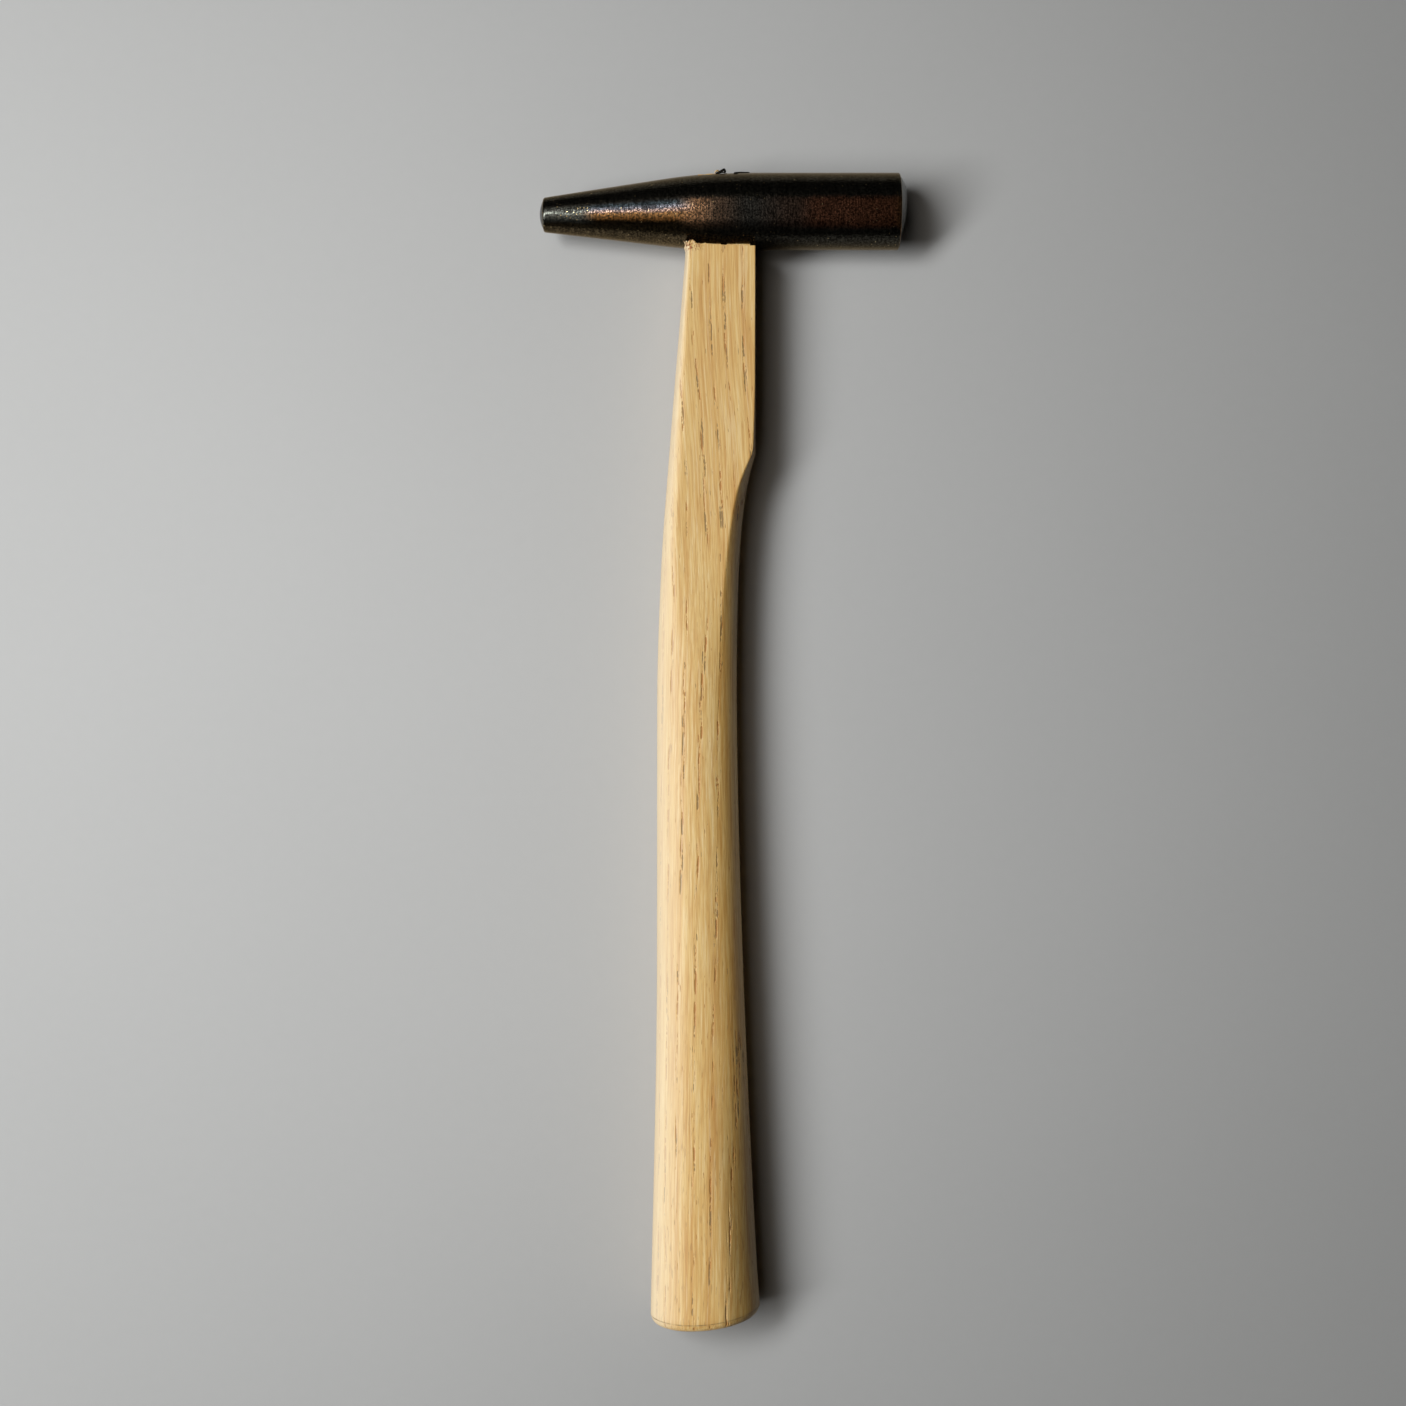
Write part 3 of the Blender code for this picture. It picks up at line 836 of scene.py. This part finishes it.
def blackened_steel():
    """Tinted oxide with turning marks, grit and a few bare specks."""
    material, tree, surface = new_material("blackened steel")
    position = millimetres(tree, add(tree, "ShaderNodeTexCoord").outputs["Object"])
    x = split(tree, position)[0]
    around = facing(tree)[1]
    in_rings = stretched(tree, position, (3.0, 0.25, 0.25))
    turning = noise_of(tree, in_rings, 1.0, detail=4.0, roughness=0.65)
    grit = noise_of(tree, position, 2.4, detail=3.0, roughness=0.7)
    patches = noise_of(tree, position, 0.6, detail=5.0, roughness=0.7)
    colour = steel_colour(tree, x, around, patches)
    gritty = ranged(tree, grit, 0.60, 0.40, 0.30, 1.75)
    grainy = product(tree, gritty, ranged(tree, turning, 0.60, 0.40, 0.7, 1.25))
    colour = mixed(tree, 1.0, colour, joined(tree, grainy, grainy, grainy), blend="MULTIPLY")
    colour = mixed(tree, bare_specks(tree, position, x), colour, (0.60, 0.46, 0.25))
    tree.links.new(colour, surface.inputs["Base Color"])
    surface.inputs["Metallic"].default_value = 0.93
    surface.inputs["Specular Tint"].default_value = (1.0, 0.85, 0.66, 1)
    rough = maths(tree, "MULTIPLY_ADD", grit, 0.12, 0.11)
    tree.links.new(maths(tree, "MULTIPLY_ADD", turning, 0.06, rough), surface.inputs["Roughness"])
    lines = bumped(tree, turning, TURNING_BUMP, 1.0)
    tree.links.new(bumped(tree, grit, GRIT_BUMP, 1.0, lines), surface.inputs["Normal"])
    return material


def bare_steel(name, shade, roughness):
    """Ground steel with fine concentric marks and a few darker stains."""
    material, tree, surface = new_material(name)
    position = millimetres(tree, add(tree, "ShaderNodeTexCoord").outputs["Object"])
    from_axis = {0: stretched(tree, position, (0.0, 1.0, 1.0))}
    radius = add(tree, "ShaderNodeVectorMath", from_axis, operation="LENGTH").outputs["Value"]
    marks = noise_of(tree, joined(tree, product(tree, radius, 9.0), 0.0, 0.0), 1.0, detail=3.0)
    stains = noise_of(tree, position, 0.9, detail=4.0, roughness=0.65)
    colour = mixed(tree, ranged(tree, stains, 0.42, 0.70), shade, tuple(c * 0.55 for c in shade))
    tree.links.new(colour, surface.inputs["Base Color"])
    surface.inputs["Metallic"].default_value = 1.0
    rough = maths(tree, "MULTIPLY_ADD", stains, 0.18, roughness)
    tree.links.new(rough, surface.inputs["Roughness"])
    uneven = bumped(tree, maths(tree, "ADD", marks, stains), STAIN_BUMP, 0.8)
    tree.links.new(uneven, surface.inputs["Normal"])
    return material


def make_head(black, bare):
    angles = np.arange(HEAD_SEGMENTS) * math.tau / HEAD_SEGMENTS
    rings = []
    for x, radius in head_profile():
        rings.append([(x, radius * math.cos(a), radius * math.sin(a)) for a in angles])
    rings = np.array(rings)
    lean = tilt_at(rings[..., 0], rings[..., 1])
    rings[..., 1] -= droop_at(rings[..., 0])
    rings[..., 0] += lean
    tips = (-HEAD_HALF, -DROOP, 0.0), (HEAD_HALF, 0.0, 0.0)
    head = skin("head_steel", rings, *tips, [black, bare])
    cutter = eye_cutter()
    cut = head.modifiers.new("eye", "BOOLEAN")
    cut.object = cutter
    cut.operation = "DIFFERENCE"
    mesh = applied(head)
    bpy.data.objects.remove(cutter)
    mesh.shade_smooth()
    mesh.set_sharp_from_angle(angle=math.radians(28))
    peen_edge = PIVOT.x + (PEEN_RIM - BARE_MARGIN) * MM
    face_edge = PIVOT.x + (FACE_RIM + BARE_MARGIN) * MM
    for polygon in mesh.polygons:
        polygon.material_index = 0 if peen_edge < polygon.center.x < face_edge else 1
    stands_for(head, "head")


# Tenon end and wedge


def prong(name, low_x, high_x, oak):
    """One half of the split tenon, with a slightly uneven trimmed end."""
    half_z = EYE_WIDTH / 2 - TENON_GAP
    outline = []
    corners = ((low_x, -half_z), (high_x, -half_z), (high_x, half_z), (low_x, half_z))
    for start, end in zip(corners, corners[1:] + corners[:1]):
        shares = np.arange(PRONG_STEPS)[:, None] / PRONG_STEPS
        outline.append(np.array(start) + (np.array(end) - np.array(start)) * shares)
    outline = np.concatenate(outline)
    middle = outline.mean(axis=0)
    rings = []
    for y in np.linspace(-SHOULDER - 1.5, TENON_TOP - 0.06, 30):
        rings.append([(x, y, z) for x, z in outline])
    for share in (0.96, 0.88, 0.75, 0.6, 0.45, 0.3, 0.15):
        rings.append([(x, TENON_TOP, z) for x, z in middle + (outline - middle) * share])
    rings = np.array(rings)
    top = rings[-8:].reshape(-1, 3)
    top[:, 1] += TENON_UNEVEN * wobble(top * np.array([1, 0, 1]), 1.1, 3)
    rings[-8:] = top.reshape(rings[-8:].shape)
    made = skin(name, rings, rings[0].mean(axis=0), rings[-1].mean(axis=0), [oak])
    stands_for(made, "handle")


def make_tenon(oak):
    half_eye = EYE_LENGTH / 2 - TENON_GAP
    prong("tenon_peen_side", EYE_CENTRE - half_eye, EYE_CENTRE - KERF_HALF, oak)
    prong("tenon_face_side", EYE_CENTRE + KERF_HALF, EYE_CENTRE + half_eye, oak)


def make_wedge(steel):
    """A thin wedge whose rounded top stands a little proud of the tenon."""
    top = (WEDGE_HIGH.y - PIVOT.y) / MM + WEDGE_PROUD
    bottom = (WEDGE_LOW.y - PIVOT.y) / MM
    half_top = (WEDGE_HIGH.x - WEDGE_LOW.x) / 2 / MM
    half_z = (WEDGE_HIGH.z - WEDGE_LOW.z) / 2 / MM + 0.1
    rings = []
    levels = (
        (bottom, WEDGE_POINT),
        (top - 0.35, half_top),
        (top - 0.1, half_top + 0.1),
        (top, half_top),
    )
    for y, half_x in levels:
        ring = []
        for i in range(WEDGE_SEGMENTS):
            angle = i * math.tau / WEDGE_SEGMENTS
            x = EYE_CENTRE + half_x * squarish(math.cos(angle))
            ring.append((x, y, half_z * squarish(math.sin(angle))))
        rings.append(ring)
    rings = np.array(rings)
    made = skin("wedge_steel", rings, rings[0].mean(axis=0), rings[-1].mean(axis=0), [steel])
    stands_for(made, "wedge")


def squarish(value):
    """Pushes a cosine or a sine outwards, which makes a circle a rectangle with rounded corners."""
    return math.copysign(abs(value) ** 0.25, value)


# Scraps of fibre at the eye, and splinters at the torn shoulder


def swept(name, path, half_width, half_thickness, twist, made_of):
    """A flat strip along a smooth path, tapered to both ends and twisted about its own length."""
    path = np.array(path, float)
    at = np.linspace(0, len(path) - 1, STRIP_STEPS * (len(path) - 1) + 1)
    points = np.stack([smooth_through(path[:, k], at) for k in range(3)], axis=1)
    ways = np.gradient(points, axis=0)
    ways /= np.linalg.norm(ways, axis=1, keepdims=True)
    shares = np.linspace(0, 1, len(points))
    rings = []
    for point, way, share in zip(points, ways, shares):
        side = np.cross(way, np.cross((0.0, 0.0, 1.0), way))
        side /= np.linalg.norm(side)
        normal = np.cross(way, side)
        swell = math.sin(math.pi * min(max(share, 0.04), 0.96)) ** 0.5
        full = STRIP_TIP + (1 - STRIP_TIP) * swell
        ring = []
        for i in range(STRIP_AROUND):
            angle = math.tau * i / STRIP_AROUND
            across = half_width * full * math.cos(angle)
            up = half_thickness * full * math.sin(angle)
            turn = twist * share
            ring.append(
                point
                + side * (across * math.cos(turn) - up * math.sin(turn))
                + normal * (across * math.sin(turn) + up * math.cos(turn))
            )
        rings.append(ring)
    return skin(name, np.array(rings), points[0], points[-1], [made_of], sharp=60)


def smooth_through(values, at):
    """Catmull-Rom values at fractional indexes."""
    padded = np.concatenate([[2 * values[0] - values[1]], values, [2 * values[-1] - values[-2]]])
    i = np.minimum(at.astype(int), len(values) - 2)
    t = at - i
    a, b, c, d = padded[i], padded[i + 1], padded[i + 2], padded[i + 3]
    second = a - 2.5 * b + 2 * c - d / 2
    third = 1.5 * (b - c) + (d - a) / 2
    return b + t * (c - a) / 2 + t**2 * second + t**3 * third


def dark_fibre():
    # A near-black, mottled colour for the dark scraps.
    material, tree, surface = new_material("dark fibre")
    position = millimetres(tree, add(tree, "ShaderNodeTexCoord").outputs["Object"])
    mottle = noise_of(tree, position, 4.0, detail=3.0)
    colour = mixed(tree, ranged(tree, mottle, 0.4, 0.7), (0.004, 0.004, 0.003), (0.020, 0.016, 0.011))
    tree.links.new(colour, surface.inputs["Base Color"])
    surface.inputs["Roughness"].default_value = 0.7
    surface.inputs["Specular IOR Level"].default_value = 0.15
    tree.links.new(bumped(tree, mottle, 0.03 * MM, 0.8), surface.inputs["Normal"])
    return material


def on_head(x, rise, z):
    """A point the given height above the head's surface, seen across the eye."""
    radius = side_radius(x) + rise
    return x, math.sqrt(radius**2 - z**2), z


def make_scraps(fibre, oak):
    """Two scraps at the eye's edge: a pale curl with a dark wing and hook, and a dark sliver with a loop.

    Each path holds (x, rise above the head, z) points.
    """
    curl = [(-1.75, -0.2, 1.9), (-1.55, 0.26, 1.9), (-1.2, 0.46, 1.8)]
    curl += [(-0.88, 0.28, 1.7), (-0.8, -0.05, 1.6)]
    wing = ((-1.5, -0.05, 2.0), (-0.8, 0.12, 2.0), (-0.2, 0.45, 1.9), (0.25, 0.80, 1.7))
    hook = ((0.2, 0.80, 1.7), (0.34, 0.42, 1.8), (0.2, 0.05, 1.9), (-0.5, 0.0, 1.9))
    sliver = ((2.1, -0.16, 1.9), (3.2, -0.08, 1.8), (4.3, -0.10, 1.8), (5.2, 0.02, 1.8))
    loop = ((3.3, -0.05, 2.0), (2.7, -0.02, 2.5), (2.25, 0.0, 3.1), (2.9, -0.05, 3.2))
    strips = (
        ("scrap_curl", curl, 0.30, 0.15, 0.8, oak),
        ("scrap_wing", wing, 0.32, 0.27, 1.2, fibre),
        ("scrap_hook", hook, 0.28, 0.23, 0.6, fibre),
        ("scrap_sliver", sliver, 0.34, 0.30, 0.4, fibre),
        ("scrap_loop", loop, 0.24, 0.20, 0.6, fibre),
    )
    for name, path, half_width, half_thickness, twist, made_of in strips:
        points = [on_head(*point) for point in path]
        strip = swept(name, points, half_width, half_thickness, twist, made_of)
        stands_for(strip, "handle")


def make_splinters(oak):
    """Short pale splinters that stand out of the torn corner of the shoulder."""
    draw = np.random.default_rng(11)
    for i in range(SPLINTERS):
        x = -7.3 + 3.2 * draw.random() ** 1.6
        start = np.array([x, -SHOULDER - 0.25 + 0.2 * draw.random(), 4.1 + 0.9 * draw.random()])
        way = np.array([draw.random(), draw.random(), draw.random()])
        way = np.array([-0.75, 0.75, 0.15]) + np.array([0.9, 0.5, 0.5]) * way
        length = SPLINTER_LENGTH + SPLINTER_EXTRA * draw.random()
        end = start + way * length
        middle = (start + end) / 2 + np.array([0.0, 0.0, SPLINTER_BOW])
        path = [start, middle, end]
        twist = draw.random() * 2
        name = f"splinter_{i + 1}"
        splinter = swept(name, path, SPLINTER_HALF_WIDTH, SPLINTER_HALF_THICKNESS, twist, oak)
        stands_for(splinter, "handle")


# Studio


def floor_material():
    """A pale floor with painted light falloff: a little darker towards its edges, the face's side and the
    butt.

    Far away, where only the camera sees it, it fades into the backdrop.
    """
    material, tree, surface = new_material("studio floor")
    position = add(tree, "ShaderNodeTexCoord").outputs["Object"]
    x, y, _ = split(tree, position)
    cloud = noise_of(tree, position, 9.0, detail=3.0)
    fine = noise_of(tree, position, 420.0, detail=2.0)
    tone = maths(tree, "MULTIPLY_ADD", fine, 0.012, FLOOR_TONE - 0.021)
    tone = maths(tree, "MULTIPLY_ADD", cloud, 0.030, tone)
    inputs = {0: position, 1: (CAMERA_X, CAMERA_Y, 0)}
    from_middle = add(tree, "ShaderNodeVectorMath", inputs, operation="DISTANCE").outputs["Value"]
    # Painted light falloff towards the edges, the face's side and the butt.
    edge = ranged(tree, from_middle, 0.0, 0.24, 1.05, 0.88)
    sideways = maths(tree, "MULTIPLY_ADD", ranged_line(tree, x, -0.16, 0.16), -0.09, 1.05)
    upwards = maths(tree, "MULTIPLY_ADD", ranged_line(tree, y, -0.14, 0.14), 0.13, 0.935)
    tone = product(tree, tone, product(tree, edge, sideways, upwards))
    tree.links.new(joined(tree, tone, tone, tone), surface.inputs["Base Color"])
    surface.inputs["Roughness"].default_value = 0.62
    surface.inputs["Specular IOR Level"].default_value = 0.3
    distance = add(tree, "ShaderNodeVectorMath", {0: position}, operation="LENGTH").outputs["Value"]
    seen = add(tree, "ShaderNodeLightPath").outputs["Is Camera Ray"]
    far = product(tree, ranged(tree, distance, 0.23, 0.60), seen)
    glow = add(tree, "ShaderNodeEmission", {"Color": (*BACKDROP, 1), "Strength": 1.0}).outputs[0]
    faded = add(tree, "ShaderNodeMixShader", {0: far, 1: surface.outputs[0], 2: glow}).outputs[0]
    tree.links.new(faded, tree.nodes["Material Output"].inputs["Surface"])
    return material


def make_floor():
    bm = bmesh.new()
    bmesh.ops.create_grid(bm, x_segments=2, y_segments=2, size=FLOOR_SIZE)
    mesh = bpy.data.meshes.new("floor")
    bm.to_mesh(mesh)
    bm.free()
    floor = object_from("floor", mesh, [floor_material()])


def area_light(name, place, target, size, watts, colour):
    """A rectangular light that the camera doesn't see."""
    data = bpy.data.lights.new(name, "AREA")
    data.shape = "RECTANGLE"
    data.size, data.size_y = size
    data.energy = watts
    data.color = colour
    light = bpy.data.objects.new(name, data)
    bpy.context.scene.collection.objects.link(light)
    light.location = place
    light.visible_camera = False
    light.rotation_euler = (Vector(target) - Vector(place)).to_track_quat("-Z", "X").to_euler()


def make_world():
    """A dim warm room, which the camera sees as a pale backdrop."""
    world = bpy.data.worlds.new("studio")
    bpy.context.scene.world = world
    world.use_nodes = True
    tree = world.node_tree
    tree.nodes.clear()
    seen = add(tree, "ShaderNodeLightPath").outputs["Is Camera Ray"]
    room = {"Color": (*ROOM_COLOUR, 1), "Strength": ROOM_STRENGTH}
    dim = add(tree, "ShaderNodeBackground", room).outputs[0]
    pale = add(tree, "ShaderNodeBackground", {"Color": (*BACKDROP, 1), "Strength": 1.0}).outputs[0]
    both = add(tree, "ShaderNodeMixShader", {0: seen, 1: dim, 2: pale}).outputs[0]
    add(tree, "ShaderNodeOutputWorld", {"Surface": both})


def make_studio():
    make_floor()
    make_world()
    area_light("key", KEY_PLACE, KEY_TARGET, KEY_SIZE, KEY_WATTS, KEY_COLOUR)
    area_light("glow", GLOW_PLACE, GLOW_TARGET, GLOW_SIZE, GLOW_WATTS, GLOW_COLOUR)
    data = bpy.data.cameras.new("camera")
    data.sensor_width = 36
    data.lens = CAMERA_LENS
    camera = bpy.data.objects.new("camera", data)
    bpy.context.scene.collection.objects.link(camera)
    camera.location = (CAMERA_X, CAMERA_Y, CAMERA_HEIGHT)
    bpy.context.scene.camera = camera
    bpy.context.scene.view_settings.view_transform = "Standard"


def main():
    oak = oak_material()
    make_handle(oak)
    make_head(blackened_steel(), bare_steel("bare steel", BARE_SHADE, BARE_ROUGHNESS))
    make_tenon(oak)
    make_wedge(bare_steel("wedge steel", WEDGE_SHADE, WEDGE_ROUGHNESS))
    make_scraps(dark_fibre(), oak)
    make_splinters(oak)
    make_studio()


main()
